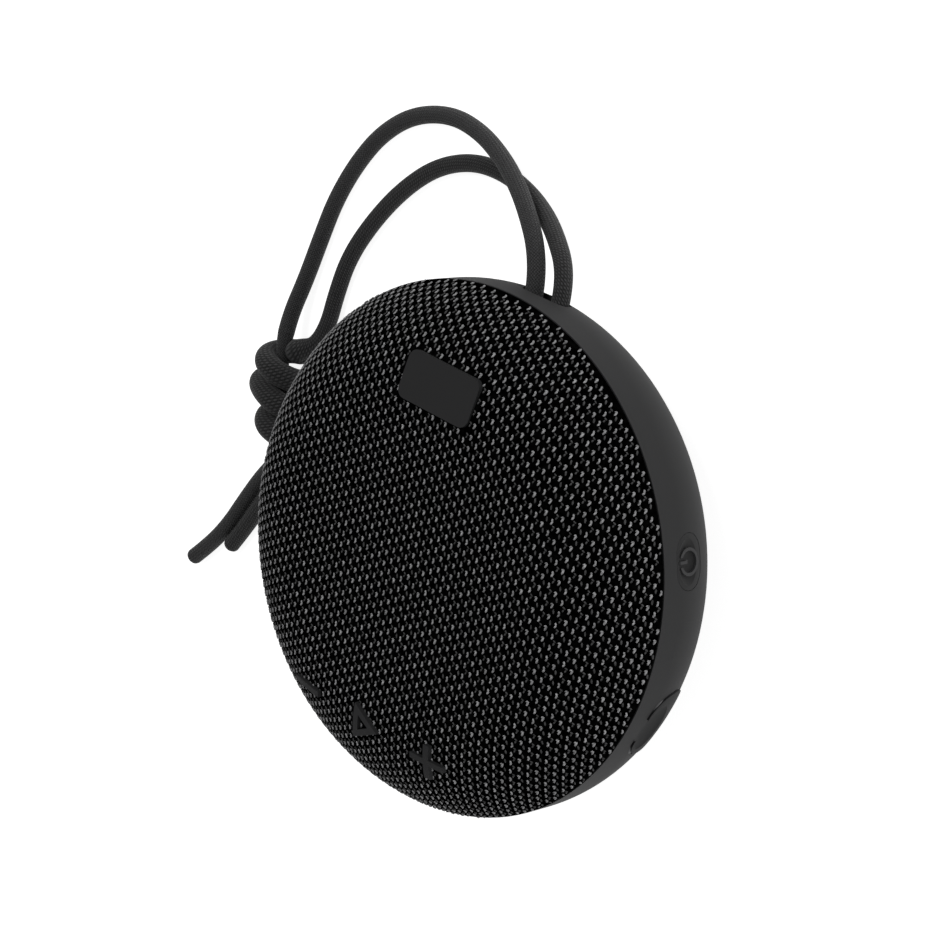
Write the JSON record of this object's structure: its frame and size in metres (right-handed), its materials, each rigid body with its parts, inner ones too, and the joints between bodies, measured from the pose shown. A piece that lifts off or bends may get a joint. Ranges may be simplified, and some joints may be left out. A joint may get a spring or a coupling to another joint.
{
  "type": "shower speaker",
  "caption": "Round portable speaker with a domed fabric front, a flat back, raised front keys, a rim power key, a port cover and a knotted carrying cord.",
  "frame": {"origin": "centre of the flat back at the level it rests on, on the disc's axis", "axes": "+Z out of the back through the fabric dome, +Y towards the cord slot, +X towards the power key side"},
  "size_m": [0.1642, 0.1383, 0.0463],
  "materials": {
    "shell": "fine soft-touch matte",
    "foot_rubber": "matte",
    "inner_plastic": "moulded",
    "steel": "plain",
    "grille_metal": "matte black paint",
    "fabric": "black net with light grey flecks",
    "badge": "satin, plain",
    "key_rubber": "soft matte",
    "power_rubber": "soft matte",
    "cover_rubber": "soft matte",
    "board": "solder mask",
    "switch_plastic": "moulded",
    "painted": "satin",
    "magnet": "ferrite grey",
    "copper": "enamelled wire",
    "cone": "pressed fibre",
    "spider": "resined cloth",
    "cell": "wrapped cell",
    "chip": "moulded",
    "cord": "braided"
  },
  "bodies": {
    "housing": {"badge_plate": "badge", "baffle": "inner_plastic", "battery_cell": "cell", "battery_tray": "inner_plastic", "board_parts": "chip", "board_posts": "inner_plastic", "board_screws": "steel", "driver_basket": "painted", "driver_gasket": "foot_rubber", "driver_magnet": "magnet", "driver_screws": "steel", "driver_surround": "foot_rubber", "driver_top_plate": "steel", "driver_yoke": "steel", "foot_ring": "foot_rubber", "grille_dome": "grille_metal", "grille_fabric": "fabric", "housing_screws": "steel", "housing_seal": "foot_rubber", "key_board": "board", "key_carrier": "inner_plastic", "key_switches": "switch_plastic", "main_board": "board", "power_switch": "board", "rear_shell": "shell", "spider": "spider", "strap_cup": "inner_plastic", "strap_fold": "cord", "strap_front": "cord", "strap_knot": "cord", "strap_pin": "steel", "strap_rear": "cord", "tail_long": "cord", "tail_short": "cord", "usb_board": "board", "usb_port": "steel"},
    "minus_button": {"minus_key": "key_rubber"},
    "play_button": {"play_key": "key_rubber"},
    "plus_button": {"plus_key": "key_rubber"},
    "power_button": {"power_key": "power_rubber"},
    "port_flap": {"port_cover": "cover_rubber"},
    "cone_assembly": {"voice_coil": "copper", "driver_cone": "cone", "dust_cap": "cone"}
  },
  "joints": [
    {"name": "minus_press", "type": "slide", "parent": "housing", "child": "minus_button", "axis": [0, 0, -1], "range_m": [0, 0.0006], "stiffness_N_per_m": 900},
    {"name": "play_press", "type": "slide", "parent": "housing", "child": "play_button", "axis": [0, 0, -1], "range_m": [0, 0.0006], "stiffness_N_per_m": 900},
    {"name": "plus_press", "type": "slide", "parent": "housing", "child": "plus_button", "axis": [0, 0, -1], "range_m": [0, 0.0006], "stiffness_N_per_m": 900},
    {"name": "power_press", "type": "slide", "parent": "housing", "child": "power_button", "axis": [-0.9397, -0.342, 0], "range_m": [0, 0.0008], "stiffness_N_per_m": 900},
    {"name": "port_cover_hinge", "type": "hinge", "parent": "housing", "child": "port_flap", "pos_m": [0.0516, -0.01627, 0.011], "axis": [0.3007, 0.9537, 0], "range_deg": [0, 100]},
    {"name": "driver_travel", "type": "slide", "parent": "housing", "child": "cone_assembly", "axis": [0, 0, 1], "range_m": [-0.0012, 0.0012], "stiffness_N_per_m": 1200, "deforming": ["driver_surround", "spider"]}
  ]
}
